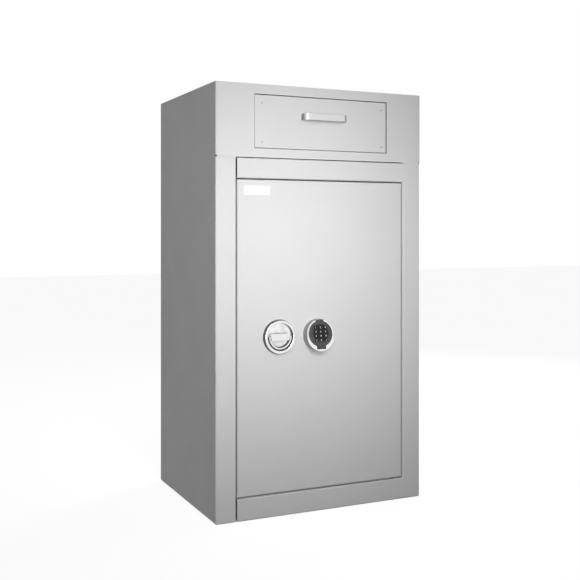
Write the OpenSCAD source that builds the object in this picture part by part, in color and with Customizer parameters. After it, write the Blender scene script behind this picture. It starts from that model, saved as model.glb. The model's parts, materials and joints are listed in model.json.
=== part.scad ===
// Drop safe with a deposit drawer: folded sheet-steel body with a liner, a hinged door with
// boltwork and an electronic lock, and a drawer whose floor tips the deposit into the vault.
// Origin: centre of the base, on the floor. +X to the right, +Y to the back, +Z up.

/* [Body] */
// Overall width
body_w = 650; // [600:5:760]
// Overall depth
body_d = 500; // [460:5:620]
// Overall height
body_h = 1200; // [1050:10:1500]
// Thickness of the outer sheets
sheet_t = 4; // [3:0.5:4.5]
// Outer radius of the folds in the outer sheets
fold_r = 5; // [4.75:0.25:8]
// Thickness of the liner sheets
liner_t = 2; // [1.5:0.5:3]
// Depth of the back wall, from its outer face to the liner's inner face
back_wall_w = 60; // [40:2:80]
// Height of the relief notch at both front corners, level with the seam
notch_h = 5; // [3:0.5:8]
// Depth of the relief notch
notch_d = 3; // [1:0.5:4]

/* [Front frame] */
// Visible width of the left and right jamb
jamb_w = 60; // [50:2:75]
// Height of the top unit's front panel
top_unit_h = 202; // [195:1:240]
// Height of the transom strip between the seam and the door opening
transom_h = 56; // [40:2:80]
// Height of the sill under the door opening
sill_h = 62; // [50:2:80]
// Gap round the door and along the seam
door_gap = 3; // [2.5:0.25:4]
// Depth of the frame's folded returns
return_d = 30; // [26:1:32]
// Distance from the front face to the liner, the back of the bolt pockets
pocket_d = 75; // [72:1:90]
// Width of the strike bars behind the jambs
strike_w = 35; // [25:1:45]

/* [Anchors] */
// Diameter of the anchor holes
anchor_d = 14; // [10:1:18]
// Floor anchors: spacing from left to right
floor_anchor_x = 400; // [250:10:420]
// Floor anchors: spacing from front to back
floor_anchor_y = 240; // [150:10:260]
// Wall anchors: spacing from left to right
wall_anchor_x = 300; // [200:10:400]
// Wall anchors: height above the floor
wall_anchor_z = 600; // [300:10:800]
// Diameter of the clearance hole through the insulation
anchor_clear_d = 22; // [20:1:30]

/* [Deposit drawer] */
// Width of the drawer front
drawer_w = 421; // [415:1:480]
// Height of the drawer front
drawer_h = 148; // [140:1:160]
// Distance from the top of the safe to the drawer front
drawer_top = 27; // [20:1:34]
// Gap round the drawer front
drawer_gap = 3; // [2:0.25:4]
// Sheet thickness of the drawer front
drawer_front_t = 2.5; // [2:0.5:3]
// Outer radius of the drawer front's folds
drawer_fold_r = 3; // [3:0.25:4]
// Depth of the drawer front's returns
drawer_return_d = 14; // [10:1:15]
// Distance from the drawer front's side edges to the tray's side plates
tray_inset = 27.5; // [26:0.5:32]
// Distance from the front face to the tray's rear plate
tray_l = 210; // [208:1:225]
// Sheet thickness of the tray
tray_t = 2; // [1.5:0.5:2.5]
// Distance from the drawer front's top edge down to the tray's upper edge
tray_drop = 8; // [4:1:20]
// Travel of the drawer
drawer_travel = 200; // [190:1:202]
// Width of the drawer side's screw tabs
tab_w = 15; // [12:1:16]

/* [Tipping floor] */
// Height of the floor's hinge above the deck
hinge_rise = 60; // [56:1:64]
// Distance from the front face to the floor's hinge
hinge_in = 18; // [16:1:20]
// Angle of the tipped floor
tip_angle = 30; // [22:1:30]
// Distance from the hinge to the guide studs
stud_reach = 200; // [190:1:202]
// Diameter of the guide studs
stud_d = 10; // [8:1:10]
// Diameter of the hinge pin
tip_pin_d = 6; // [4:0.5:6]
// Height of the floor plate's upper face above the hinge, and depth of its side flanges below
tip_half_h = 5; // [5:0.25:6]
// Width of the guide ramps
ramp_w = 8; // [6:1:9]
// Depth of the guide ramps
ramp_h = 10; // [6:1:14]

/* [Chute and slides] */
// Thickness of the cheek plates
cheek_t = 3; // [2:0.5:4]
// Height of the cheek plates above the deck
cheek_h = 175; // [165:1:185]
// Distance from the front face to the deck's chute opening
chute_in = 70; // [64:1:72]
// Length of the chute opening, front to back
chute_l = 222; // [205:1:240]
// Depth of the chute below the deck
chute_drop = 86; // [60:1:110]
// Depth of the fishing guard below the deck, with its teeth
guard_drop = 110; // [90:1:130]
// Pitch of the fishing guard's teeth
tooth_pitch = 20; // [10:1:30]
// Distance from the front face to the cheek plates' rear edges
cheek_reach = 400; // [370:5:430]
// Width of a set of slide rails
rail_w = 13; // [12.5:0.5:15]
// Height of the fixed slide rails
rail_h = 45; // [38:1:50]
// Length of the fixed slide rails
rail_l = 300; // [260:5:340]
// Length of the middle slide rails
rail_mid_l = 250; // [220:5:255]
// Length of the inner slide rails
rail_in_l = 198; // [180:1:200]
// Sheet thickness of the slide rails
rail_t = 1.5; // [1.2:0.1:2]

/* [Drawer handle] */
// Hole spacing of the bow handle
bow_spacing = 128; // [96:32:160]
// Width of the bow's legs
bow_leg = 8; // [6:0.5:10]
// Height of the bow's flat bar
bow_h = 18; // [12:1:24]
// Projection of the bow
bow_out = 24; // [20:1:35]
// Thickness of the bow's grip
bow_t = 5; // [3:0.5:7]
// Outer corner radius of the bow
bow_r = 12; // [8:0.5:14]
// Distance from the top of the safe to the bow's centre
bow_top = 85; // [70:1:100]
// Diameter of the drawer's screw heads
screw_head_d = 6; // [5:0.5:8]
// Diameter of the drawer's screw shanks
screw_d = 3.5; // [3:0.5:4]
// Distance of the front screws from the drawer's side edges
screw_in_x = 20; // [20:0.5:28]
// Distance of the upper front screws from the drawer's top edge
screw_in_top = 25; // [20:1:35]
// Distance of the lower front screws from the drawer's bottom edge
screw_in_bottom = 15; // [12:1:20]

/* [Door] */
// Sheet thickness of the door skin
door_t = 4; // [3:0.5:5]
// Outer radius of the door skin's folds
door_r = 5; // [5:0.25:8]
// Depth of the door skin
door_d = 35; // [33:1:36]
// Width of the flange inside the door skin, on which the cover sits
door_lip = 30; // [28:1:40]
// Distance from the door's edge to the cover, on the bolt side and at top and bottom
cover_in = 12; // [10:1:14]
// Distance from the door's edge to the cover on the hinge side
cover_in_hinge = 25; // [22:1:26]
// Depth of the door cover
cover_d = 35; // [33:1:36]
// Sheet thickness of the door cover
cover_t = 2; // [1.5:0.5:3]
// Distance of the hinge axis from the door's right edge
hinge_in_x = 30; // [26:1:40]
// Distance of the hinge axis from the front face
hinge_in_y = 11; // [10.75:0.25:11.5]
// Diameter of the hinge pins
hinge_d = 9; // [7:0.5:9]
// Diameter of the hinge bushes and of the pins' collars
bush_d = 13; // [12:0.25:13]
// Height of the hinge bushes
bush_h = 24; // [15:1:40]
// Width of the bare plate on the door
plate_w = 78; // [50:1:120]
// Height of the bare plate
plate_h = 25; // [15:1:40]
// Thickness of the bare plate
plate_t = 0.8; // [0.5:0.1:1.5]
// Distance from the safe's left side to the bare plate
plate_left = 82; // [72:1:120]
// Distance from the top of the safe to the bare plate
plate_top = 281; // [270:1:330]

/* [Boltwork] */
// Distance of the handle's spindle from the safe's left side
handle_x = 187; // [179:1:195]
// Height of the spindle, the middle bolt and the lock
handle_z = 500; // [460:5:640]
// Diameter of the spindle
spindle_d = 10; // [8:0.5:12]
// Turn of the handle that throws the bolts
handle_turn = 90; // [60:5:90]
// Throw of the bolts
bolt_throw = 22; // [16:1:22]
// Diameter of the locking bolts and the dead bolts
bolt_d = 20; // [16:1:20]
// Length of the locking bolts
bolt_l = 54; // [50:1:54]
// Spacing of the bolts
bolt_pitch = 250; // [150:5:280]
// Distance of the bolts' axis from the front face
bolt_in = 52; // [51:0.5:52.5]
// Distance of the retracted bolt tips from the door's edge
tip_in = 3; // [3:0.5:8]
// Reach of the dead bolts beyond the door's hinge-side edge
dead_reach = 15; // [8:1:15]
// Length of the dead bolts inside the door cover
dead_in = 20; // [12:1:30]
// Thickness of the bolt bar
bar_t = 6; // [4:1:7]
// Width of the link that joins the bolt bar to the cam
link_w = 40; // [34:1:60]
// Thickness of the link
link_t = 6; // [4:1:7]
// Distance from the front face to the link
link_in = 15; // [14:0.5:16]
// Diameter of the cam disc
cam_d = 100; // [98:1:108]
// Thickness of the cam disc
cam_t = 6; // [4:1:7]
// Distance from the spindle to the cam pin with the bolts drawn back
cam_r0 = 18; // [17:0.5:20]
// Diameter of the cam pin
cam_pin_d = 8; // [6:0.5:9]

/* [Rosette] */
// Diameter of the rosette at the door
rosette_d = 97; // [92:1:110]
// Projection of the rosette
rosette_h = 13.5; // [12:0.5:18]
// Diameter of the rosette's opening
rosette_in_d = 77; // [74:1:80]
// Height of the crossbar
crossbar_h = 19; // [16:1:24]
// Height of the crossbar's face in the rosette, measured from the door
crossbar_out = 12.5; // [11.5:0.25:13]
// Height of the dish's rim in the rosette, measured from the door
dish_rim = 3.5; // [3:0.25:5]
// Radial width of the bail
bail_w = 4; // [3:0.5:5]
// Thickness of the bail
bail_t = 4; // [3:0.5:4]

/* [Electronic lock] */
// Distance of the lock's centre from the handle's spindle
lock_x = 117; // [116:1:128]
// Width of the keypad housing, which is oval
pad_w = 83; // [81:1:95]
// How much taller than wide the keypad housing is
pad_longer = 5; // [2:0.5:12]
// Projection of the keypad housing, at the middle of its slanted front
pad_h = 27; // [26:1:34]
// Height of the keypad's middle above the spindle
pad_up = 1.5; // [0:0.5:3]
// Slant of the keypad's front, whose top lies back
pad_slant = 10; // [5:1:12]
// Diameter of the black keypad face
pad_face_d = 73; // [71:1:74]
// Distance of the face's centre from the middle of the slanted front
pad_rise = 4; // [3:0.5:6]
// Spacing of the keys from left to right
key_pitch_x = 15.2; // [14:0.2:16]
// Spacing of the keys from top to bottom
key_pitch_z = 11.8; // [10.6:0.1:12]
// Width of a key
key_w = 10.4; // [9:0.2:12]
// Height of a key
key_h = 7.6; // [6:0.2:9]
// Travel of a key
key_travel = 1; // [0.5:0.1:1.5]
// Width of the battery cover's tab
tab_battery_w = 28; // [22:1:32]
// Width of the lock case
case_w = 61; // [56:1:66]
// Height of the lock case
case_h = 85; // [80:1:100]
// Depth of the lock case
case_d = 32; // [28:1:34]
// Distance of the swing bolt's pivot from the lock's centre
swing_off = 21; // [18:1:22]
// Length of the lock's swing bolt from its pivot
swing_l = 36; // [30:1:36]
// Width of the swing bolt
swing_w = 10; // [8:1:14]

/* [Hidden] */
$fn = 64;

// Finishes
paint = "#d4d5d4";
zinc = "#b9bcbd";
steel = "#9da1a4";
chrome = "#e2e4e6";
satin = "#c9cbcc";
black = "#26272a";
board = "#c4c0b6";
white = "#eeeeec";
brass = "#b08d4c";

// Running fits and clearances, and how far a cut runs past a face
fit = 0.05;
play = 0.3;
loose = 1;
cut = 1;

// Faces of the body
x_out = body_w / 2;
x_in = x_out - sheet_t;
y_front = -body_d / 2;
y_back = body_d / 2;
z_panel = body_h - top_unit_h;
z_frame = z_panel - door_gap;
z_open = z_frame - transom_h;
x_open = x_out - jamb_w;
x_door = x_open - door_gap;
z_door0 = sill_h + door_gap;
z_door1 = z_open - door_gap;
y_return = y_front + return_d;
y_pocket = y_front + pocket_d;
y_liner = y_back - back_wall_w;
x_liner = x_open + liner_t;
z_liner = sill_h - liner_t;
z_deck = z_frame;
strike_gap = 1.5;
pin_short = 2;
pin_collar_t = 5;

// Drawer
drawer_z1 = body_h - drawer_top;
drawer_z0 = drawer_z1 - drawer_h;
tray_x = drawer_w / 2 - tray_inset;
tray_in = tray_x - tray_t;
tray_z1 = drawer_z1 - tray_drop;
y_tray = y_front + drawer_front_t;
y_rear = y_front + tray_l;
hinge_y = y_front + hinge_in;
hinge_z = z_deck + hinge_rise;
stud_r = stud_d / 2;
tray_z0 = hinge_z + stud_r + loose;
ear_drop = 8;
ear_l = 10;
tab_end = 9;
pin_end = 1.5;
floor_x = tray_in - tray_t;
floor_tail = 5;
floor_nose = 13;
flange_drop = tip_half_h + 1;
stud_neck = 4;
stud_head_d = 2 * (tip_half_h - tray_t - fit);
stud_head_t = 2;
stud_gap = 2;
rail_x = tray_x + rail_w;
rail_start = 1.5;
rail_y = y_tray + tray_t + rail_start;
rail_rise = 5;
rail_z = (tray_z0 + tray_z1) / 2 + rail_rise;
rail_lip_in = 3.5;
rail_web_gap = 0.8;
rail_lip_gap = 0.4;
rail_step = 2 * (rail_t + rail_lip_gap);
cheek_z1 = z_deck + cheek_h;
cheek_foot = 20;
cheek_gap = 3;
cheek_end = y_front + cheek_reach;
y_chute0 = y_front + chute_in;
y_chute1 = y_chute0 + chute_l;
chute_cheek_in = 15;
guard_foot = 20;
tooth_h = 16;
ramp_steps = 20;

// Drawer screws and bow handle
bow_z = body_h - bow_top;
screw_x = drawer_w / 2 - screw_in_x;
screw_head_t = 0.8;
screw_end = 2;
bow_screw_l = 8;
bow_screw_head_t = 2;

// Door, its hinge and its boltwork
hinge_x = x_door - hinge_in_x;
hinge_ax_y = y_front + hinge_in_y;
y_skin = y_front + door_d;
y_cover = y_skin + cover_d;
cover_x0 = -x_door + cover_in;
cover_x1 = x_door - cover_in_hinge;
cover_z0 = z_door0 + cover_in;
cover_z1 = z_door1 - cover_in;
bolt_y = y_front + bolt_in;
bolt_tip = -x_door + tip_in;
bar_x = bolt_tip + bolt_l;
bolt_zs = [for (i = [-1:1]) handle_z + i * bolt_pitch];
bolt_chamfer = 2;
collar_w = 4;
collar_t = 4;
guide_l = 14;
guide_rim = 7;
spindle_x = -x_out + handle_x;
pad_x = spindle_x + lock_x;
link_y = y_front + link_in;
cam_gap = 7;
cam_y = link_y + link_t + cam_gap;
cam_pin_x = spindle_x - cam_r0;
cam_steps = 24;
slot_half = cam_pin_d / 2 + 0.5;
hub_w = 3;
hub_gap = 2;
spindle_end = 4;
tongue_w = link_w / 2;
swing_x = pad_x - swing_off;
swing_gap = 20;
plate_r = 2;
swing_pin_d = 5;
swing_pin_end = 3;
link_end = swing_x - swing_gap;
case_gap = 2;
lead_d = 8;

// Rosette, rotor and keypad
rosette_taper = 2.5;
rosette_ro = 2;
rosette_ri = 1;
rotor_gap = 0.6;
rotor_r = rosette_in_d / 2 - rotor_gap;
rotor_t = 2;
dish_d = dish_rim - rotor_t - play;
dish_flat_r = 10;
dish_edge_r = rotor_r - 1;
bail_gap = 3.9;
bail_r = rotor_r - bail_gap;
bail_in_r = bail_r - bail_w;
dish_low_r = bail_in_r - 1.5;
bail_seat = 7.7;
bail_y = y_front - rotor_t - play - bail_seat;
crossbar_r = bail_in_r - 1.8;
bail_pin_d = 2.4;
bail_pin_l = 10;
pad_tall = pad_w + pad_longer;
pad_z = handle_z + pad_up;
face_out = 2;
face_t = 4;
face_seat = face_t - face_out;
well_rim = 3;
well_r = pad_face_d / 2 - well_rim;
well_d = 15;
battery_d = 10;
battery_in = 5;
tab_top_w = 24;
tab_over = pad_tall / 2 * (1 / cos(pad_slant) - 1);
key_out = face_out + 0.8;
key_stem = 2;
key_flange = 1;
key_flange_t = 1.2;
key_r = 1.2;

// Helpers: extrude a plan along Z, a side view (Y, Z) along X, or a front view (X, Z) along Y
module along_z(z, l) {
    translate([0, 0, z]) linear_extrude(l) children();
}

module along_x(x, l) {
    translate([x, 0, 0]) rotate([90, 0, 90]) linear_extrude(l) children();
}

module along_y(y, l) {
    translate([0, y + l, 0]) rotate([90, 0, 0]) linear_extrude(l) children();
}

// A box from its two corners
module block(a, b) {
    translate(a) cube(b - a);
}

// A 2D rectangle from its two corners
module rect(a, b) {
    translate(a) square(b - a);
}

// A round bar or bore along X, Y or Z from its starting point
module rod_x(p, d, l) {
    translate(p) rotate([0, 90, 0]) cylinder(d = d, h = l);
}

module rod_y(p, d, l) {
    translate(p) rotate([-90, 0, 0]) cylinder(d = d, h = l);
}

module rod_z(p, d, l) {
    translate(p) cylinder(d = d, h = l);
}

// A 2D strip from u = 0 to w, front at v = 0, with both front corners rounded
module front_round(w, d, r) {
    rect([0, r], [w, d]);
    rect([r, 0], [w - r, d]);
    for (u = [r, w - r]) translate([u, r]) circle(r);
}

// Section of a sheet folded into a channel that is open at the back
module channel(w, d, t, r) {
    difference() {
        front_round(w, d, r);
        translate([t, t]) front_round(w - 2 * t, d, r - t);
    }
}

// Section of a sheet folded once, at u = w, with its other edge left plain
module angle_section(w, d, t, r) {
    intersection() {
        translate([-w, 0]) channel(2 * w, d, t, r);
        rect([0, 0], [w, d]);
    }
}

// A shallow tray, open at the back: front face at y, all four edges folded back
module folded_tray(x0, x1, z0, z1, y, d, t, r) {
    difference() {
        rounded_slab(x0, x1, z0, z1, y, d, r);
        rounded_slab(x0 + t, x1 - t, z0 + t, z1 - t, y + t, d, r - t);
    }
}

// A slab whose front edges are rounded on all four sides
module rounded_slab(x0, x1, z0, z1, y, d, r) {
    intersection() {
        along_z(z0, z1 - z0) translate([x0, y]) front_round(x1 - x0, d, r);
        along_x(x0, x1 - x0) translate([y, z1]) rotate(-90) front_round(z1 - z0, d, r);
    }
}

// A rounded rectangle, centred
module pill(w, h, r) {
    square([w - 2 * r, h], center = true);
    square([w, h - 2 * r], center = true);
    for (u = [-1, 1], v = [-1, 1]) translate([u * (w / 2 - r), v * (h / 2 - r)]) circle(r);
}

// Mirrored copy on the left for a shape drawn on the right
module to_left() {
    mirror([1, 0, 0]) children();
}

module both_sides() {
    children();
    to_left() children();
}

// Body: a side sheet, drawn on the right, with its relief notch at the seam
module side_sheet() {
    difference() {
        block([x_in, y_front, 0], [x_out, y_back, body_h]);
        block([x_in - cut, y_front - cut, -cut], [x_out + cut, y_return, z_frame]);
        block([x_in - cut, y_front - cut, -cut], [x_out + cut, y_front + notch_d, z_frame + notch_h]);
    }
}

// Left side sheet with its front edge folded round into the left jamb
module left_wall() color(paint) {
    to_left() side_sheet();
    along_z(0, z_frame) translate([-x_out, y_front]) channel(jamb_w, return_d, sheet_t, fold_r);
}

module right_wall() color(paint) {
    side_sheet();
}

// Transom strip, right jamb and sill: one folded sheet whose left ends stay free
module front_frame() color(paint) difference() {
    union() {
        along_z(0, z_frame) translate([x_open, y_front]) channel(jamb_w, return_d, sheet_t, fold_r);
        along_x(-x_door, x_door + x_open + fold_r)
            translate([y_front, z_frame]) rotate(-90) channel(transom_h, return_d, sheet_t, fold_r);
        along_x(-x_door, x_door + x_open + fold_r)
            translate([y_front, 0]) mirror([1, -1]) angle_section(sill_h, return_d, sheet_t, fold_r);
    }
    rod_z([hinge_x, hinge_ax_y, z_open - loose], hinge_d + 2 * fit, sheet_t + 2 * loose);
    rod_z([hinge_x, hinge_ax_y, z_liner - sheet_t], hinge_d + 2 * fit, 2 * sheet_t);
}

// Panel of the top unit with the opening for the drawer
module top_front_panel() color(paint) along_y(y_front, sheet_t) difference() {
    rect([-x_in + play, z_panel], [x_in - play, body_h]);
    rect([-drawer_w / 2 - drawer_gap, drawer_z0 - drawer_gap],
         [drawer_w / 2 + drawer_gap, drawer_z1 + drawer_gap]);
}

module roof_panel() color(paint) {
    block([-x_in, y_front + sheet_t, body_h - sheet_t], [x_in, y_back - sheet_t, body_h]);
}

module back_wall() color(paint) difference() {
    block([-x_in, y_back - sheet_t, 0], [x_in, y_back, body_h]);
    wall_anchor_holes(anchor_d);
}

module base_plate() color(paint) difference() {
    block([-x_in, y_front + sheet_t, 0], [x_in, y_back - sheet_t, sheet_t]);
    floor_anchor_holes(anchor_d);
    base_corner_cuts();
}

// The base plate stays clear of the folded returns of both jambs
module base_corner_cuts() both_sides() {
    block([x_open - play, y_front, -cut], [x_open + sheet_t + play, y_return + play, sheet_t + cut]);
    block([x_in - fold_r, y_front, -cut], [x_in + cut, y_front + sheet_t + fold_r, sheet_t + cut]);
}

module wall_anchor_holes(d) {
    for (s = [-1, 1]) rod_y([s * wall_anchor_x / 2, 0, wall_anchor_z], d, body_d);
}

module floor_anchor_holes(d) {
    for (s = [-1, 1], v = [-1, 1])
        rod_z([s * floor_anchor_x / 2, v * floor_anchor_y / 2, -cut], d, sill_h + 2 * cut);
}

// Liner: side sheets with a front flange that closes the bolt pocket
module liner_side() color(white) {
    block([x_open, y_pocket, z_liner], [x_liner, y_liner, z_deck - sheet_t]);
    block([x_open, y_pocket, z_liner], [x_in, y_pocket + liner_t, z_deck - sheet_t]);
}

module liner_left() to_left() liner_side();

module liner_right() liner_side();

module liner_back() color(white) difference() {
    block([-x_liner, y_liner, z_liner], [x_liner, y_liner + liner_t, z_deck - sheet_t]);
    wall_anchor_holes(anchor_d);
}

module liner_floor() color(white) difference() {
    block([-x_open, y_return, z_liner], [x_open, y_liner, sill_h]);
    floor_anchor_holes(anchor_d);
}

// Insulation boards: left, right, back and floor
module wall_infill() color(board) {
    both_sides() block([x_liner, y_pocket + liner_t, z_liner + play],
                       [x_in, y_liner + liner_t - play, z_deck - sheet_t]);
    difference() {
        block([-x_in, y_liner + liner_t, sheet_t], [x_in, y_back - sheet_t, z_deck - sheet_t]);
        wall_anchor_holes(anchor_clear_d);
    }
    difference() {
        block([-x_open, y_return, sheet_t], [x_open, y_liner + liner_t - play, z_liner]);
        floor_anchor_holes(anchor_clear_d);
    }
}

// Strike bars, on which the bolts bear when the door is pulled
module strike_bars() color(steel) both_sides() {
    block([x_open, y_return, sill_h + loose],
          [x_open + strike_w, bolt_y - bolt_d / 2 - strike_gap, z_open - loose]);
}

// Hinge pins, each with a collar; the lower one carries the door
module hinge_pin_top() color(steel) {
    pin_z0 = z_door1 - bush_h + pin_short;
    rod_z([hinge_x, hinge_ax_y, pin_z0], hinge_d, z_open + sheet_t - pin_z0);
    rod_z([hinge_x, hinge_ax_y, z_open + sheet_t], bush_d, pin_collar_t);
}

module hinge_pin_bottom() color(steel) {
    rod_z([hinge_x, hinge_ax_y, sill_h - sheet_t], hinge_d, door_gap + sheet_t + bush_h - pin_short);
    rod_z([hinge_x, hinge_ax_y, sill_h], bush_d, door_gap);
    rod_z([hinge_x, hinge_ax_y, sill_h - sheet_t - pin_collar_t], bush_d, pin_collar_t);
}

// Deck between the drawer unit and the vault, with the chute opening
module deposit_deck() color(white) difference() {
    block([-x_in, y_return, z_deck - sheet_t], [x_in, y_back - sheet_t, z_deck]);
    block([-rail_x - cheek_t, y_chute0, z_deck - sheet_t - cut],
          [rail_x + cheek_t, y_chute1, z_deck + cut]);
}

// Tipping floor: angle and stud position for a drawer pulled out by s
function tip(s) = tip_angle * (1 - s / drawer_travel);
function stud_at(s) = [hinge_y - s + stud_reach * cos(tip(s)), hinge_z - stud_reach * sin(tip(s))];
function stud_dir(s) = stud_at(s + 0.5) - stud_at(s - 0.5);
function below_path(s, h) = let (v = stud_dir(s), n = [-v[1], v[0]] / norm(v)) stud_at(s) + h * n;
ramp_run = [for (i = [0:ramp_steps]) drawer_travel * i / ramp_steps];

// Guide ramp under the path of the studs
module ramp_section() {
    top = [for (s = ramp_run) below_path(s, stud_r + play)];
    bottom = [for (i = [ramp_steps:-1:0]) below_path(ramp_run[i], stud_r + play + ramp_h)];
    polygon(concat(top, bottom));
}

// Cheek plate with its foot on the deck, its chute side and its guide ramp
module cheek() color(zinc) {
    along_x(rail_x, cheek_t) {
        rect([y_front + drawer_return_d + cheek_gap, z_deck], [cheek_end, cheek_z1]);
        rect([y_chute0 + chute_cheek_in, z_deck - chute_drop], [y_chute1, z_deck + cut]);
    }
    block([rail_x, y_return, z_deck], [rail_x + cheek_foot, y_chute1, z_deck + cheek_t]);
    along_x(rail_x - ramp_w, ramp_w) ramp_section();
}

module cheek_left() to_left() cheek();

module cheek_right() cheek();

// Guard behind the chute, with teeth along its lower edge
module fishing_guard() color(steel) {
    guard_w = 2 * rail_x - 2 * play;
    teeth = floor(guard_w / tooth_pitch);
    along_y(y_chute1 - tray_t, tray_t) translate([-guard_w / 2, z_deck - guard_drop]) difference() {
        square([guard_w, guard_drop]);
        for (i = [0:teeth - 1]) translate([(guard_w - teeth * tooth_pitch) / 2 + i * tooth_pitch, 0])
            polygon([[0, -cut], [0, 0], [tooth_pitch / 2, tooth_h], [tooth_pitch, 0], [tooth_pitch, -cut]]);
    }
    block([-guard_w / 2, y_chute1 - tray_t, z_deck], [guard_w / 2, y_chute1 + guard_foot, z_deck + tray_t]);
}

// Slide rails: each a channel that nests in the next one out; h is the height, x0 to x1 the width
module rail(x_web, x_lip, h, l) {
    x0 = min(x_web, x_lip);
    x1 = max(x_web, x_lip);
    web0 = x_web > x_lip ? x_web - rail_t : x_web;
    block([web0, rail_y, rail_z - h / 2], [web0 + rail_t, rail_y + l, rail_z + h / 2]);
    for (s = [-1, 1]) translate([0, 0, s * (h - rail_t) / 2])
        block([x0, rail_y, rail_z - rail_t / 2], [x1, rail_y + l, rail_z + rail_t / 2]);
}

module slide_rails_fixed() color(zinc) both_sides()
    rail(rail_x, tray_x + rail_lip_in, rail_h, rail_l);

module slide_rails_middle() color(zinc) both_sides()
    rail(rail_x - rail_t - rail_web_gap, tray_x + rail_lip_in, rail_h - rail_step, rail_mid_l);

module slide_rails_inner() color(zinc) both_sides()
    rail(tray_x, rail_x - 2 * (rail_t + rail_web_gap), rail_h - 2 * rail_step, rail_in_l);

// Drawer front, a folded tray with the holes for its screws
module drawer_front() color(paint) difference() {
    folded_tray(-drawer_w / 2, drawer_w / 2, drawer_z0, drawer_z1, y_front, drawer_return_d,
                drawer_front_t, drawer_fold_r);
    for (p = concat(front_screw_places(), bow_screw_places()))
        rod_y([p[0], y_front - cut, p[1]], screw_d + 2 * fit, drawer_front_t + 2 * cut);
}

function front_screw_places() =
    [for (s = [-1, 1], z = [drawer_z1 - screw_in_top, drawer_z0 + screw_in_bottom]) [s * screw_x, z]];
function bow_screw_places() = [for (s = [-1, 1]) [s * bow_spacing / 2, bow_z]];

// Bow handle, bent from flat bar, with its grip rounded over
module drawer_handle() color(satin) difference() {
    along_z(bow_z - bow_h / 2, bow_h) difference() {
        bow_outline(bow_spacing + bow_leg, bow_out, bow_r);
        translate([0, bow_t]) bow_outline(bow_spacing - bow_leg, bow_out, bow_r - bow_t);
    }
    for (p = bow_screw_places()) rod_y([p[0], y_front - bow_out + bow_t, p[1]], screw_d, bow_out);
}

module bow_outline(w, out, r) {
    translate([-w / 2, y_front - out]) intersection() {
        front_round(w, out + r, r);
        rect([0, 0], [w, out]);
    }
}

// Screws: four in the drawer front, two that hold the bow from inside
module drawer_screws() color(satin) {
    for (p = front_screw_places()) {
        rod_y([p[0], y_front, p[1]], screw_d, drawer_front_t + tray_t + screw_end);
        rod_y([p[0], y_front - screw_head_t, p[1]], screw_head_d, screw_head_t);
    }
    for (p = bow_screw_places()) {
        rod_y([p[0], y_front - bow_screw_l, p[1]], screw_d - 2 * fit, bow_screw_l + drawer_front_t);
        rod_y([p[0], y_tray, p[1]], screw_head_d, bow_screw_head_t);
    }
}

// Side plate of the tray: front tab for the screws, and an ear for the tipping floor's pin
module drawer_side() color(zinc) difference() {
    union() {
        along_x(tray_in, tray_t) {
            rect([y_tray, tray_z0], [y_rear + tray_t, tray_z1]);
            rect([y_tray, hinge_z - ear_drop], [hinge_y + ear_l, tray_z0 + cut]);
        }
        block([tray_in, y_tray, drawer_z0 + tab_end], [tray_x + tab_w, y_tray + tray_t, tray_z1]);
    }
    rod_x([tray_in - cut, hinge_y, hinge_z], tip_pin_d + 2 * fit, tray_t + 2 * cut);
    for (p = front_screw_places())
        rod_y([p[0], y_tray - cut, p[1]], screw_d + 2 * fit, tray_t + 2 * cut);
}

module drawer_side_left() to_left() drawer_side();

module drawer_side_right() drawer_side();

// Rear plate, which closes the drawer's opening when the drawer is out
module drawer_rear() color(zinc) {
    block([-tray_in, y_rear, tray_z0], [tray_in, y_rear + tray_t, tray_z1]);
}

module tipping_pin() color(steel) {
    rod_x([-tray_x - pin_end, hinge_y, hinge_z], tip_pin_d, 2 * (tray_x + pin_end));
}

// Puts a piece that is drawn level, with the hinge axis as its X axis, into the tipped position
module tipped() {
    translate([0, hinge_y, hinge_z]) rotate([-tip_angle, 0, 0]) children();
}

// Tipping floor: a plate with a flange down each side
module tipping_floor() color(zinc) tipped() difference() {
    union() {
        block([-floor_x, -floor_nose, tip_half_h - tray_t], [floor_x, stud_reach + floor_tail, tip_half_h]);
        both_sides() block([floor_x - tray_t, -floor_nose / 2, -flange_drop],
                           [floor_x, stud_reach + floor_tail, tip_half_h - tray_t / 2]);
    }
    rod_x([-floor_x - cut, 0, 0], tip_pin_d + 4 * fit, 2 * (floor_x + cut));
    rod_x([-floor_x - cut, stud_reach, 0], stud_neck + 2 * fit, 2 * (floor_x + cut));
}

// Guide studs that ride on the ramps of both cheeks
module guide_studs() color(steel) tipped() both_sides() {
    rod_x([floor_x, stud_reach, 0], stud_d, rail_x - stud_gap - floor_x);
    rod_x([floor_x - tray_t - stud_head_t, stud_reach, 0], stud_neck, tray_t + stud_head_t + cut);
    rod_x([floor_x - tray_t - stud_head_t, stud_reach, 0], stud_head_d, stud_head_t);
}

// Door skin: folded tray with an inner flange, bores for the bushes, the spindle and the lock
module door_skin() color(paint) difference() {
    union() {
        folded_tray(-x_door, x_door, z_door0, z_door1, y_front, door_d, door_t, door_r);
        along_y(y_skin - door_t, door_t) difference() {
            rect([-x_door + cut, z_door0 + cut], [x_door - cut, z_door1 - cut]);
            rect([-x_door + door_lip, z_door0 + door_lip], [x_door - door_lip, z_door1 - door_lip]);
        }
    }
    for (z = [z_door0, z_door1 - door_t])
        rod_z([hinge_x, hinge_ax_y, z - cut], bush_d + 2 * fit, door_t + 2 * cut);
    rod_y([spindle_x, y_front - cut, handle_z], spindle_d + 4 * fit, door_t + 2 * cut);
    rod_y([pad_x, y_front - cut, handle_z], lead_d, door_t + 2 * cut);
}

// Bushes that run on the hinge pins
module door_bushes() color(brass) for (z = [z_door0, z_door1 - bush_h]) difference() {
    rod_z([hinge_x, hinge_ax_y, z], bush_d, bush_h);
    rod_z([hinge_x, hinge_ax_y, z - cut], hinge_d + 2 * fit, bush_h + 2 * cut);
}

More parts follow.
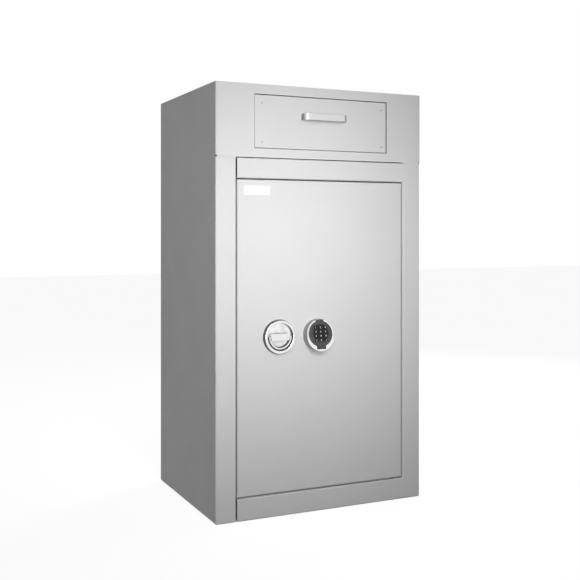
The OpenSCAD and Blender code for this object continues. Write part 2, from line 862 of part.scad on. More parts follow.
// Inner cover, a tray folded towards the front, with the holes for the bolts
module door_cover() color(white) difference() {
    block([cover_x0, y_skin, cover_z0], [cover_x1, y_cover, cover_z1]);
    block([cover_x0 + cover_t, y_skin - cut, cover_z0 + cover_t],
          [cover_x1 - cover_t, y_cover - cover_t, cover_z1 - cover_t]);
    for (z = bolt_zs) {
        rod_x([cover_x0 - cut, bolt_y, z], bolt_d + loose, cover_t + 2 * cut);
        rod_x([cover_x1 - cover_t - cut, bolt_y, z], bolt_d + 2 * fit, cover_t + 2 * cut);
    }
}

// Bare plate at the door's top left
module blank_plate() color(white) {
    along_y(y_front - plate_t, plate_t)
        translate([-x_out + plate_left + plate_w / 2, body_h - plate_top - plate_h / 2])
            pill(plate_w, plate_h, plate_r);
}

// Fixed bolts on the hinge side, each with a collar inside the cover
module dead_bolts() color(steel) for (z = bolt_zs) {
    rod_x([cover_x1 - dead_in, bolt_y, z], bolt_d, x_door + dead_reach - cover_x1 + dead_in);
    rod_x([cover_x1 - cover_t - collar_t, bolt_y, z], bolt_d + 2 * collar_w, collar_t);
}

// Guide blocks for the locking bolts
module bolt_guides() color(zinc) for (z = bolt_zs) difference() {
    block([cover_x0 + cover_t, y_skin, z - bolt_d / 2 - guide_rim],
          [cover_x0 + cover_t + guide_l, y_cover - cover_t, z + bolt_d / 2 + guide_rim]);
    rod_x([cover_x0, bolt_y, z], bolt_d + 4 * fit, cover_t + guide_l + cut);
}

module locking_bolts() color(steel) for (z = bolt_zs) {
    rod_x([bolt_tip + bolt_chamfer, bolt_y, z], bolt_d, bolt_l - bolt_chamfer);
    translate([bolt_tip, bolt_y, z]) rotate([0, 90, 0])
        cylinder(d1 = bolt_d - 2 * bolt_chamfer, d2 = bolt_d, h = bolt_chamfer);
}

// Bolt bar with the link to the cam, slotted for the spindle, and the cam pin
module bolt_bar() color(zinc) {
    block([bar_x, link_y, bolt_zs[0] - bolt_d],
          [bar_x + bar_t, bolt_y + bolt_d / 2, bolt_zs[2] + bolt_d]);
    along_y(link_y, link_t) difference() {
        union() {
            rect([bar_x + bar_t - cut, handle_z - link_w / 2],
                 [spindle_x + link_w, handle_z + link_w / 2]);
            rect([spindle_x, handle_z - tongue_w / 2], [link_end, handle_z + tongue_w / 2]);
        }
        for (u = [0, bolt_throw])
            translate([spindle_x + u, handle_z]) circle(d = spindle_d + 2 * loose);
        rect([spindle_x, handle_z - spindle_d / 2 - loose],
             [spindle_x + bolt_throw, handle_z + spindle_d / 2 + loose]);
    }
    rod_y([cam_pin_x, link_y + link_t - cut, handle_z], cam_pin_d, cam_gap + cam_t + 2 * cut);
}

// Cam slot: the pin's distance grows evenly with the turn
function cam_point(a) = let (r = cam_r0 + bolt_throw * a / handle_turn) [-r * cos(a), r * sin(a)];
function cam_normal(a) = let (v = cam_point(a + 0.5) - cam_point(a - 0.5)) [-v[1], v[0]] / norm(v);
function cam_edge(side) = [for (i = [0:cam_steps]) let (a = handle_turn * i / cam_steps)
    cam_point(a) + side * slot_half * cam_normal(a)];
function reversed(list) = [for (i = [len(list) - 1:-1:0]) list[i]];

module cam_slot() {
    polygon(concat(cam_edge(1), reversed(cam_edge(-1))));
    for (a = [0, handle_turn]) translate(cam_point(a)) circle(slot_half);
}

// Cam disc with the spindle that joins it to the handle
module cam_disc() color(steel) {
    along_y(cam_y, cam_t) translate([spindle_x, handle_z]) difference() {
        circle(d = cam_d);
        cam_slot();
    }
    rod_y([spindle_x, y_front - play, handle_z], spindle_d, cam_y + cam_t + spindle_end - y_front + play);
    rod_y([spindle_x, link_y + link_t + hub_gap, handle_z], spindle_d + 2 * hub_w, cam_gap - hub_gap);
}

// Lock case, slotted for the swing bolt, and its pivot
module lock_case() color(zinc) {
    slot_top = handle_z + swing_w;
    difference() {
        block([pad_x - case_w / 2, y_front + door_t, handle_z - case_h / 2],
              [pad_x + case_w / 2, y_front + door_t + case_d, handle_z + case_h / 2]);
        block([pad_x - case_w / 2 - cut, link_y - case_gap, handle_z - case_h / 2 - cut],
              [swing_x + swing_w, link_y + link_t + case_gap, slot_top]);
    }
    rod_y([swing_x, link_y - swing_pin_end, handle_z], swing_pin_d, link_t + 2 * swing_pin_end);
}

// Swing bolt: hangs down while the bolts are drawn back, and blocks the link once they are thrown
module swing_bolt() color(steel) along_y(link_y, link_t) translate([swing_x, handle_z]) difference() {
    union() {
        circle(d = swing_w);
        rect([-swing_w / 2, -swing_l], [swing_w / 2, 0]);
    }
    circle(d = swing_pin_d + 4 * fit);
}

// Rosette: a flat-faced ring on the door, a little wider at its foot
module handle_rosette() color(chrome) translate([spindle_x, y_front, handle_z]) rotate([90, 0, 0])
    rotate_extrude($fn = 96)
        ring_section(rosette_in_d / 2, rosette_d / 2 - rosette_taper, rosette_h, rosette_ro, rosette_ri);

// Section of a ring from radius r0 to r1, rounded by ro outside and ri inside
module ring_section(r0, r1, h, ro, ri) {
    polygon([[r0, 0], [r1 + rosette_taper, 0], [r1, h - ro], [r0, h - ro]]);
    rect([r0 + ri, 0], [r1 - ro, h]);
    rect([r0, 0], [r0 + ri, h - ri]);
    intersection() {
        translate([r1 - ro, h - ro]) circle(ro);
        rect([r1 - ro, 0], [r1, h]);
    }
    translate([r0 + ri, h - ri]) circle(ri);
}

// Hollow of the dish: a shallow cone with a flat middle
module dish_hollow() translate([spindle_x, y_front - play - rotor_t, handle_z]) rotate([90, 0, 0])
    cylinder(r1 = dish_flat_r, r2 = dish_edge_r + cut * (dish_edge_r - dish_flat_r) / dish_d,
             h = dish_d + cut);

// Rotor: a dished disc with the crossbar; its lower dish is narrower, to leave room for the bail
module handle_rotor() color(chrome) difference() {
    union() {
        rod_y([spindle_x, y_front - play - rotor_t, handle_z], 2 * rotor_r, rotor_t);
        difference() {
            intersection() {
                rod_y([spindle_x, y_front - dish_rim, handle_z], 2 * rotor_r, dish_rim - play);
                block([spindle_x - rotor_r, y_front - dish_rim, handle_z],
                      [spindle_x + rotor_r, y_front, handle_z + rotor_r]);
            }
            dish_hollow();
        }
        difference() {
            rod_y([spindle_x, y_front - dish_rim, handle_z], 2 * dish_low_r, dish_rim - play);
            dish_hollow();
        }
        intersection() {
            along_y(y_front - crossbar_out, crossbar_out - play) translate([spindle_x, handle_z])
                rect([-rotor_r, -crossbar_h / 2], [rotor_r, crossbar_h / 2]);
            rod_y([spindle_x, y_front - crossbar_out, handle_z], 2 * crossbar_r, crossbar_out);
        }
    }
    rod_x([spindle_x - rotor_r, bail_y, handle_z], bail_pin_d + 2 * fit, 2 * rotor_r);
}

// Repeats a shape for the left and right arm of the bail, with the spindle's axis at X = Z = 0
module both_arms() translate([spindle_x, 0, handle_z]) {
    children();
    mirror([1, 0, 0]) children();
}

// Bail: a half ring with a pivot pin in each arm, folded down into the rosette
module handle_bail() color(chrome) {
    along_y(bail_y - bail_t / 2, bail_t) translate([spindle_x, handle_z]) intersection() {
        difference() {
            circle(bail_r);
            circle(bail_in_r);
        }
        rect([-bail_r, -bail_r], [bail_r, 0]);
    }
    both_arms() rod_x([bail_in_r - bail_pin_l, bail_y, 0], bail_pin_d, bail_pin_l + bail_w);
    both_arms() intersection() {
        rod_x([bail_in_r, bail_y, 0], bail_t, bail_w);
        rod_y([0, y_front - rosette_h, 0], 2 * bail_r, rosette_h);
    }
}

// Places shapes on the keypad's slanted front: its middle at X = Z = 0, the rim at Y = 0, +Y inwards
module on_slope() translate([pad_x, y_front - pad_h, pad_z]) rotate([-pad_slant, 0, 0]) children();

// Oval outline of the keypad housing, drawn in by g, or grown by -g
module pad_outline(g) {
    square([pad_w - 2 * g, pad_longer], center = true);
    for (s = [-1, 1]) translate([0, s * pad_longer / 2]) circle(d = pad_w - 2 * g, $fn = 96);
}

// Keypad housing, hollow under the face, with notches for the tabs
module keypad_housing() color(chrome) difference() {
    intersection() {
        along_y(y_front - 2 * pad_h, 2 * pad_h) translate([pad_x, pad_z]) pad_outline(0);
        on_slope() block([-pad_tall, 0, -pad_tall], [pad_tall, 2 * pad_h, pad_tall]);
    }
    on_slope() {
        rod_y([0, -cut, pad_rise], pad_face_d + 2 * fit, face_seat + cut);
        rod_y([0, -cut, pad_rise], 2 * well_r, well_d + cut);
        along_y(-cut, face_seat + cut) face_tab_top(fit, cut);
        along_y(-cut, battery_d - face_out + play + cut) battery_tab(play);
    }
    rod_y([pad_x, y_front - pad_h, handle_z], lead_d, pad_h + cut);
}

// Outline of the face's top tab, grown by g at its sides and by end at its top
module face_tab_top(g, end) intersection() {
    rect([-tab_top_w / 2 - g, pad_rise], [tab_top_w / 2 + g, pad_tall]);
    pad_outline(-tab_over - end);
}

// Outline of the battery cover, grown by g
module battery_tab(g) difference() {
    rect([-tab_battery_w / 2 - g, battery_in - pad_tall / 2 - g], [tab_battery_w / 2 + g, 0]);
    translate([0, pad_rise]) circle(pad_face_d / 2 + play - g);
}

// Black face of the keypad, with a window for each key
module keypad_face() color(black) on_slope() along_y(-face_out, face_t) difference() {
    union() {
        translate([0, pad_rise]) circle(d = pad_face_d, $fn = 96);
        face_tab_top(0, 0);
    }
    for (p = key_places()) translate(p) pill(key_w + 2 * play, key_h + 2 * play, key_r);
}

// Battery cover, the tab at the foot of the keypad
module battery_cover() color(black) on_slope() along_y(-face_out, battery_d) battery_tab(0);

// Keys, by column and row from the top left
function key_place(c, r) = [(c - 1) * key_pitch_x, pad_rise + (1.5 - r) * key_pitch_z];
function key_places() = [for (r = [0:3], c = [0:2]) key_place(c, r)];

module key(c, r) color(black) on_slope() {
    along_y(-key_out, face_t + key_stem) translate(key_place(c, r)) pill(key_w, key_h, key_r);
    along_y(face_seat, key_flange_t) translate(key_place(c, r))
        square([key_w + 2 * key_flange, key_h + 2 * key_flange], center = true);
}

left_wall();
right_wall();
front_frame();
top_front_panel();
roof_panel();
back_wall();
base_plate();
liner_left();
liner_right();
liner_back();
liner_floor();
wall_infill();
deposit_deck();
cheek_left();
cheek_right();
fishing_guard();
slide_rails_fixed();
strike_bars();
hinge_pin_top();
hinge_pin_bottom();
drawer_front();
drawer_handle();
drawer_side_left();
drawer_side_right();
drawer_rear();
drawer_screws();
slide_rails_inner();
tipping_pin();
slide_rails_middle();
tipping_floor();
guide_studs();
door_skin();
door_cover();
door_bushes();
blank_plate();
handle_rosette();
dead_bolts();
bolt_guides();
lock_case();
keypad_housing();
keypad_face();
battery_cover();
handle_rotor();
cam_disc();
handle_bail();
bolt_bar();
locking_bolts();
swing_bolt();
key(0, 0);  // key_1
key(1, 0);  // key_2
key(2, 0);  // key_3
key(0, 1);  // key_4
key(1, 1);  // key_5
key(2, 1);  // key_6
key(0, 2);  // key_7
key(1, 2);  // key_8
key(2, 2);  // key_9
key(0, 3);  // key_clear
key(1, 3);  // key_0
key(2, 3);  // key_enter
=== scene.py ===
import json
import math

import bmesh
import bpy
from mathutils import Matrix, Vector

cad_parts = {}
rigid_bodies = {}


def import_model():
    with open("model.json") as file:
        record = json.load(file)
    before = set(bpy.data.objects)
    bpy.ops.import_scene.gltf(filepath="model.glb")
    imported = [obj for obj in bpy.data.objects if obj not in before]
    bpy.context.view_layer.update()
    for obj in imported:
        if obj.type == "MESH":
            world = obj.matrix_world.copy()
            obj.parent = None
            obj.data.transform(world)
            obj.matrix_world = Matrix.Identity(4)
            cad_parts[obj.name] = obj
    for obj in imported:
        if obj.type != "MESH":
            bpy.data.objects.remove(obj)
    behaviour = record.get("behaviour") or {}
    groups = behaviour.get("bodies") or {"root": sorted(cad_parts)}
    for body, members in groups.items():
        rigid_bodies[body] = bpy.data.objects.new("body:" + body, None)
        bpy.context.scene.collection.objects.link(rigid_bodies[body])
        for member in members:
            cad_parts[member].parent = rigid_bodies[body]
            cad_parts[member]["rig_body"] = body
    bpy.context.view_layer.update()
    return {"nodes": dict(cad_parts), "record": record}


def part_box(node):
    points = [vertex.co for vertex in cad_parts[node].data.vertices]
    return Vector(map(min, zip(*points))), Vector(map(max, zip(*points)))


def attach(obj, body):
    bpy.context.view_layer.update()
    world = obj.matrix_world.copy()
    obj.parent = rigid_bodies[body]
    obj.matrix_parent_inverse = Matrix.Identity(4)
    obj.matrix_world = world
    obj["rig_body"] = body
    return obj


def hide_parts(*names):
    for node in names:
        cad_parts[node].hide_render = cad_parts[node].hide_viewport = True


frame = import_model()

NODES = frame["nodes"]
BODY_OF = {n: o["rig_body"] for n, o in NODES.items()}
SLOT_OF = {s["node"]: s["material_slot"] for s in frame["record"]["subparts"]}
scene = bpy.context.scene


def middle(node):
    """(x, z) of a node's middle."""
    low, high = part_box(node)
    return (low.x + high.x) / 2, (low.z + high.z) / 2


MM = 0.001
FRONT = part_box("door_skin")[0].y
FRAME_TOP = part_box("front_frame")[1].z
PANEL_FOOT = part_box("top_front_panel")[0].z
SPINDLE = middle("handle_rotor")


# Camera: level, on the left of the front, with the picture shifted down instead of tilted
CAMERA_PLACE = (-1.19215, -2.58366, 0.79282)
CAMERA_YAW = -25.01
SENSOR_WIDTH = 36
FOCAL_LENGTH = 57.09
PICTURE_SHIFT = -0.1008
lens = bpy.data.cameras.new("camera")
lens.sensor_width = SENSOR_WIDTH
lens.lens = FOCAL_LENGTH
lens.shift_y = PICTURE_SHIFT
camera = bpy.data.objects.new("camera", lens)
camera.location = CAMERA_PLACE
camera.rotation_euler = (math.radians(90), 0, math.radians(CAMERA_YAW))
scene.collection.objects.link(camera)
scene.camera = camera
scene.view_settings.view_transform = "Standard"


# Node trees
class Shader:
    """A material under construction: its node tree, its Principled shader and its coordinates."""

    def __init__(self, name, **inputs):
        self.material = bpy.data.materials.new(name)
        self.material.use_nodes = True
        self.tree = self.material.node_tree
        self.bsdf = self.tree.nodes["Principled BSDF"]
        self.coords = self.add("ShaderNodeTexCoord").outputs["Object"]
        for socket, value in inputs.items():
            self.bsdf.inputs[socket.replace("_", " ")].default_value = value

    def add(self, kind, **settings):
        node = self.tree.nodes.new(kind)
        for name, value in settings.items():
            setattr(node, name, value)
        return node

    def link(self, out, socket):
        self.tree.links.new(out, socket)

    def stretched(self, x, y, z):
        """The coordinates, scaled per axis, for a grain that runs one way."""
        node = self.add("ShaderNodeMapping")
        node.inputs["Scale"].default_value = (x, y, z)
        self.link(self.coords, node.inputs["Vector"])
        return node.outputs["Vector"]

    def noise(self, scale, detail=2.0, rough=0.5, vector=None):
        node = self.add("ShaderNodeTexNoise")
        node.inputs["Scale"].default_value = scale
        node.inputs["Detail"].default_value = detail
        node.inputs["Roughness"].default_value = rough
        self.link(vector or self.coords, node.inputs["Vector"])
        return node.outputs["Fac"]

    def cells(self, scale):
        node = self.add("ShaderNodeTexVoronoi")
        node.inputs["Scale"].default_value = scale
        self.link(self.coords, node.inputs["Vector"])
        return node

    def nearness(self, centre, reach):
        """1 on the line along Y through centre (x, z), falling to 0 at the distance reach."""
        node = self.add("ShaderNodeMapping")
        node.inputs["Location"].default_value = (-centre[0] / reach, 0, -centre[1] / reach)
        node.inputs["Scale"].default_value = (1 / reach, 0, 1 / reach)
        self.link(self.coords, node.inputs["Vector"])
        ball = self.add("ShaderNodeTexGradient", gradient_type="SPHERICAL")
        self.link(node.outputs["Vector"], ball.inputs["Vector"])
        return ball.outputs["Fac"]

    def ramp(self, fac, *stops):
        """A colour ramp from (place, colour) stops; a colour may be one grey value."""
        node = self.add("ShaderNodeValToRGB")
        while len(node.color_ramp.elements) < len(stops):
            node.color_ramp.elements.new(0.5)
        for element, (place, colour) in zip(node.color_ramp.elements, stops):
            element.position = place
            rgb = colour if isinstance(colour, tuple) else (colour,) * 3
            element.color = (*rgb, 1)
        self.link(fac, node.inputs["Fac"])
        return node.outputs["Color"]

    def mix(self, fac, a, b):
        """A mix of two colours; fac is a texture or one number."""
        node = self.add("ShaderNodeMix", data_type="RGBA")
        if isinstance(fac, float):
            node.inputs[0].default_value = fac
        else:
            self.link(fac, node.inputs[0])
        self.link(a, node.inputs[6])
        self.link(b, node.inputs[7])
        return node.outputs[2]

    def span(self, fac, low, high, from_low=0.3, from_high=0.7):
        """A number that runs from low to high where the texture runs over its usual range."""
        node = self.add("ShaderNodeMapRange")
        for socket, value in zip(("From Min", "From Max", "To Min", "To Max"),
                                 (from_low, from_high, low, high)):
            node.inputs[socket].default_value = value
        self.link(fac, node.inputs["Value"])
        return node.outputs["Result"]

    def colour(self, out):
        self.link(out, self.bsdf.inputs["Base Color"])

    def roughness(self, out):
        self.link(out, self.bsdf.inputs["Roughness"])

    def bump(self, height, strength, distance):
        node = self.add("ShaderNodeBump")
        node.inputs["Strength"].default_value = strength
        node.inputs["Distance"].default_value = distance
        self.link(height, node.inputs["Height"])
        before = self.bsdf.inputs["Normal"].links
        if before:
            self.link(before[0].from_socket, node.inputs["Normal"])
        self.link(node.outputs["Normal"], self.bsdf.inputs["Normal"])


def worn_edges(s, base, bare, amount):
    """Colour that turns to bare metal in small flecks, for steel that slides on steel."""
    flecks = s.ramp(s.noise(420, 4, 0.65), (0.62, 0.0), (0.70, amount))
    return s.mix(flecks, base, bare)


def powder_coat(name, level, fine, strength):
    """Fine-texture powder coat: small rounded bumps, and a slight unevenness of tone and gloss."""
    s = Shader(name, Specular_IOR_Level=0.35)
    cloud = s.noise(9, 3)
    speck = s.noise(fine, 2, 0.6)
    broad = s.ramp(cloud, (0.3, level * 0.975), (0.7, level * 1.02))
    specks = s.ramp(speck, (0.28, level * 0.90), (0.5, level), (0.75, level * 1.07))
    s.colour(s.mix(0.5, broad, specks))
    s.roughness(s.span(s.noise(26, 3), 0.44, 0.53))
    s.bump(s.noise(140, 3), 0.12, 0.0005)
    s.bump(speck, strength, 0.00018)
    return s.material


def zinc_plate(name, level):
    """Galvanised sheet: pale spangle cells of differing tone under a satin surface."""
    s = Shader(name, Metallic=0.85)
    cell = s.cells(95)
    fleck = s.ramp(cell.outputs["Color"], (0.2, level * 0.88), (0.8, level * 1.06))
    haze = s.ramp(s.noise(14, 4), (0.3, level * 0.94), (0.7, level * 1.02))
    s.colour(s.mix(s.noise(30, 2), fleck, haze))
    s.roughness(s.span(cell.outputs["Distance"], 0.36, 0.50, 0.0, 0.012))
    s.bump(s.noise(300, 3), 0.1, 0.0002)
    return s.material


def turned_steel(name, level):
    """Machined steel with fine tool marks and a few dull flecks."""
    s = Shader(name, Metallic=1.0)
    marks = s.noise(900, 2, 0.5, s.stretched(1.6, 1.0, 0.35))
    base = s.ramp(marks, (0.3, level * 0.92), (0.7, level * 1.05))
    dull = s.ramp(s.noise(22, 4), (0.3, level * 0.82), (0.7, level))
    s.colour(worn_edges(s, base, dull, 0.6))
    s.roughness(s.span(s.noise(60, 4), 0.28, 0.42))
    s.bump(marks, 0.08, 0.0001)
    return s.material


def brushed_aluminium(name, level):
    """Satin aluminium, brushed along X."""
    s = Shader(name, Metallic=1.0)
    lines = s.noise(1400, 2, 0.5, s.stretched(0.025, 1.0, 1.0))
    s.colour(s.ramp(lines, (0.3, level * 0.93), (0.7, level * 1.04)))
    s.roughness(s.span(lines, 0.36, 0.48))
    s.bump(lines, 0.12, 0.00008)
    return s.material


def chrome_plate(name, level, low, high):
    """Polished chrome with the faint cloudiness of handled plating."""
    s = Shader(name, Metallic=1.0)
    smear = s.noise(38, 4, 0.6)
    s.colour(s.ramp(smear, (0.3, (level * 0.965, level * 0.975, level)), (0.7, level)))
    s.roughness(s.span(smear, low, high))
    s.bump(s.noise(120, 3), 0.02, 0.0002)
    return s.material


def shaded_chrome(name, level, low, high):
    """Satin-bright metal of a given level. Low levels are painted shade and painted reflection on the
    side walls and hollows of the chromed parts, and on the hinge pins.
    """
    s = Shader(name, Metallic=1.0)
    smear = s.noise(60, 4, 0.6)
    s.colour(s.ramp(smear, (0.3, level * 0.85), (0.7, level * 1.1)))
    s.roughness(s.span(smear, low, high))
    s.bump(s.noise(160, 3), 0.03, 0.0002)
    return s.material


def brass_turned(name):
    """Turned brass, with tool marks round the bushes."""
    s = Shader(name, Metallic=1.0)
    marks = s.noise(1000, 2, 0.5, s.stretched(1.0, 1.0, 3.0))
    s.colour(s.ramp(marks, (0.3, (0.58, 0.43, 0.20)), (0.7, (0.70, 0.54, 0.27))))
    s.roughness(s.span(s.noise(80, 3), 0.25, 0.38))
    s.bump(marks, 0.08, 0.0001)
    return s.material


def key_rubber(name, low, high):
    """Matt black key rubber with a spark-eroded grain."""
    s = Shader(name, Specular_IOR_Level=0.2)
    speck = s.noise(2200, 3, 0.65)
    s.colour(s.ramp(speck, (0.32, low), (0.62, high)))
    s.roughness(s.span(s.noise(160, 3), 0.60, 0.74))
    s.bump(speck, 0.2, 0.00012)
    return s.material


def keypad_plastic(name, centre, radius):
    """Black plastic with a polished rim; within a radius, round the keys, it is matt and darker."""
    s = Shader(name)
    speck = s.noise(1500, 3, 0.65)
    near = s.nearness(centre, 2 * radius)
    blend = 0.42, 0.52
    rim = s.ramp(speck, (0.32, 0.016), (0.62, 0.042))
    matt = s.ramp(speck, (0.32, 0.005), (0.62, 0.014))
    s.colour(s.mix(s.span(near, 0, 1, *blend), rim, matt))
    s.link(s.span(near, 0.5, 0.2, *blend), s.bsdf.inputs["Specular IOR Level"])
    s.roughness(s.span(s.noise(160, 3), 0.42, 0.58))
    s.bump(speck, 0.35, 0.00012)
    return s.material


def dished_chrome(name, centre, radius, middle_shade_level, rim_shade_level):
    """Chrome of a dish about centre (x, z), painted darker towards its rim: painted shade of the gap
    there.
    """
    s = Shader(name, Metallic=1.0)
    near = s.nearness(centre, 2 * radius)
    s.colour(s.ramp(near, (0.49, rim_shade_level), (0.53, middle_shade_level)))
    s.roughness(s.span(s.noise(60, 4, 0.6), 0.26, 0.36))
    s.bump(s.noise(160, 3), 0.03, 0.0002)
    return s.material


def fibre_board(name):
    """Gypsum fibre board: grey, with pale fibres and small voids."""
    s = Shader(name)
    fibres = s.noise(240, 5, 0.7, s.stretched(1.0, 0.3, 1.0))
    s.colour(s.ramp(fibres, (0.3, (0.52, 0.50, 0.45)), (0.7, (0.70, 0.68, 0.62))))
    s.roughness(s.span(fibres, 0.80, 0.95))
    s.bump(s.noise(500, 4, 0.7), 0.4, 0.0004)
    return s.material


def gloss_plate(name, level):
    """The bare plate: a smooth white enamel with a faint ripple."""
    s = Shader(name)
    s.colour(s.ramp(s.noise(60, 3), (0.3, level * 0.98), (0.7, level)))
    s.roughness(s.span(s.noise(90, 3), 0.22, 0.32))
    s.bump(s.noise(160, 2), 0.05, 0.0002)
    return s.material


def printed(name, level):
    """Flat pad print, slightly uneven: the legend, and at a near-black level the painted shade of small
    recesses.
    """
    s = Shader(name)
    s.colour(s.ramp(s.noise(900, 3), (0.3, level * 0.85), (0.7, level)))
    s.roughness(s.span(s.noise(300, 2), 0.5, 0.65))
    return s.material


KEY_FIELD = 23 * MM
LOW_DISH = 28 * MM
MATERIALS = {
    "paint": powder_coat("powder_coat", level=0.62, fine=900, strength=0.30),
    "paint_inner": powder_coat("inner_paint", level=0.74, fine=1300, strength=0.15),
    "board": fibre_board("fibre_board"),
    "zinc": zinc_plate("zinc_plate", level=0.60),
    "steel": turned_steel("turned_steel", level=0.56),
    "satin": brushed_aluminium("satin_aluminium", level=0.53),
    "chrome": chrome_plate("chrome_plate", level=0.88, low=0.05, high=0.10),
    "brass": brass_turned("turned_brass"),
    "black": keypad_plastic("face_plastic", middle("keypad_face"), KEY_FIELD),
    "key": key_rubber("key_rubber", low=0.004, high=0.012),
    "plate": gloss_plate("plate_enamel", level=0.86),
}

# Copies of the metals for faces that look darker or lighter than the rest of their piece, the darker ones
# painted shade and painted reflection; and small parts
WALL_BLACK_PAINTED_SHADE = shaded_chrome("chrome_wall_black_painted_shade", level=0.04, low=0.25, high=0.35)
WALL_DARK_PAINTED_SHADE = shaded_chrome("chrome_wall_dark_painted_shade", level=0.14, low=0.22, high=0.34)
# Near-black chrome for the rotor's low rim under the bail: painted shade.
CHANNEL_PAINTED_SHADE = shaded_chrome("chrome_channel_painted_shade", level=0.07, low=0.25, high=0.35)
WALL_GREY_PAINTED_SHADE = shaded_chrome("chrome_wall_grey_painted_shade", level=0.31, low=0.30, high=0.42)
FACE_SATIN = shaded_chrome("chrome_face_satin", level=0.80, low=0.22, high=0.30)
# The low dish, darker than the upper dish and darkest at its rim: painted shade.
DISH_LOW_PAINTED_SHADE = dished_chrome("chrome_dish_low_painted_shade", SPINDLE, LOW_DISH, middle_shade_level=0.58, rim_shade_level=0.12)
RECESS_LOW = shaded_chrome("chrome_finger_recess", level=0.85, low=0.28, high=0.36)
# Darker satin aluminium for the bow handle's bends and ends: painted shade.
SATIN_BEND_PAINTED_SHADE = brushed_aluminium("satin_aluminium_bend_painted_shade", level=0.34)
SATIN_SIDE_PAINTED_SHADE = brushed_aluminium("satin_aluminium_side_painted_shade", level=0.27)
SCREW = shaded_chrome("screw_zinc", level=0.50, low=0.4, high=0.5)
# The near-black flat colour of the screws' cross recesses and the jambs' notches: painted shade.
RECESS_PAINTED_SHADE = printed("recess_painted_shade", level=0.03)
# Near-black steel for the hinge pins: painted shade where they show in the door's gaps.
HINGE_PIN_PAINTED_SHADE = shaded_chrome("oiled_steel", level=0.10, low=0.35, high=0.48)
LEGEND = printed("legend_print", level=0.86)
# Every node gets its slot's material, but the hinge pins get the painted shade.
for name, node in NODES.items():
    for place in node.material_slots:
        place.material = HINGE_PIN_PAINTED_SHADE if name.startswith("hinge_pin") else MATERIALS[SLOT_OF[name]]


# Stage: a pale floor that shows white and keeps the object's shadow, and a white surround. Each has
# one level for rays that see it and a lower one for the light that it throws on the object.
FLOOR_REACH = 14
FLOOR_DROP = 0.4 * MM
FLOOR_SHADE = 0.25
FLOOR_GLOW = 0.88
FLOOR_BOUNCE = 0.06
SURROUND_SEEN = 1.0
SURROUND_LIGHT = 0.25


def seen_directly(tree):
    """1 for rays that come from the camera, a mirror or clear glass."""
    path = tree.nodes.new("ShaderNodeLightPath")
    total = path.outputs["Is Camera Ray"]
    for ray in ("Is Glossy Ray", "Is Transmission Ray"):
        either = tree.nodes.new("ShaderNodeMath")
        either.operation = "MAXIMUM"
        tree.links.new(total, either.inputs[0])
        tree.links.new(path.outputs[ray], either.inputs[1])
        total = either.outputs[0]
    return total


def floor_material():
    """White where it is seen, less the object's shadow; grey for the light that it throws back."""
    material = bpy.data.materials.new("floor_white")
    material.use_nodes = True
    tree = material.node_tree
    tree.nodes.clear()
    seen = seen_directly(tree)
    shade = tree.nodes.new("ShaderNodeMapRange")
    shade.inputs["To Min"].default_value = FLOOR_BOUNCE
    shade.inputs["To Max"].default_value = FLOOR_SHADE
    tree.links.new(seen, shade.inputs["Value"])
    diffuse = tree.nodes.new("ShaderNodeBsdfDiffuse")
    tree.links.new(shade.outputs["Result"], diffuse.inputs["Color"])
    glow = tree.nodes.new("ShaderNodeEmission")
    strength = tree.nodes.new("ShaderNodeMath")
    strength.operation = "MULTIPLY"
    strength.inputs[1].default_value = FLOOR_GLOW
    tree.links.new(seen, strength.inputs[0])
    tree.links.new(strength.outputs[0], glow.inputs["Strength"])
    both = tree.nodes.new("ShaderNodeAddShader")
    tree.links.new(diffuse.outputs[0], both.inputs[0])
    tree.links.new(glow.outputs[0], both.inputs[1])
    out = tree.nodes.new("ShaderNodeOutputMaterial")
    tree.links.new(both.outputs[0], out.inputs["Surface"])
    return material


floor_mesh = bpy.data.meshes.new("floor")
floor_mesh.from_pydata([(x * FLOOR_REACH, y * FLOOR_REACH, 0)
                        for x, y in ((-1, -1), (1, -1), (1, 1), (-1, 1))], [], [(0, 1, 2, 3)])
floor_mesh.materials.append(floor_material())
floor = bpy.data.objects.new("floor", floor_mesh)
floor.location.z = -FLOOR_DROP
scene.collection.objects.link(floor)

world = bpy.data.worlds.new("surround")
world.use_nodes = True
scene.world = world
sky = world.node_tree
level = sky.nodes.new("ShaderNodeMapRange")
level.inputs["To Min"].default_value = SURROUND_LIGHT
level.inputs["To Max"].default_value = SURROUND_SEEN
sky.links.new(seen_directly(sky), level.inputs["Value"])
sky.nodes["Background"].inputs["Color"].default_value = (1, 1, 1, 1)
sky.links.new(level.outputs["Result"], sky.nodes["Background"].inputs["Strength"])


# Lamps
def aim(lamp, place, target):
    """Puts a lamp at a place and turns it to a target."""
    lamp_object = bpy.data.objects.new(lamp.name, lamp)
    lamp_object.location = place
    lamp_object.rotation_euler = (Vector(target) - Vector(place)).to_track_quat("-Z", "Y").to_euler()
    scene.collection.objects.link(lamp_object)


def spot(name, watts, cone, radius, place, target):
    """A soft-edged cone of light, of so many degrees, from a ball of that radius."""
    lamp = bpy.data.lights.new(name, "SPOT")
    lamp.energy = watts
    lamp.spot_size = math.radians(cone)
    lamp.spot_blend = 1.0
    lamp.shadow_soft_size = radius
    aim(lamp, place, target)


def panel(name, watts, size, place, target):
    """A square panel of light."""
    lamp = bpy.data.lights.new(name, "AREA")
    lamp.energy = watts
    lamp.size = size
    aim(lamp, place, target)


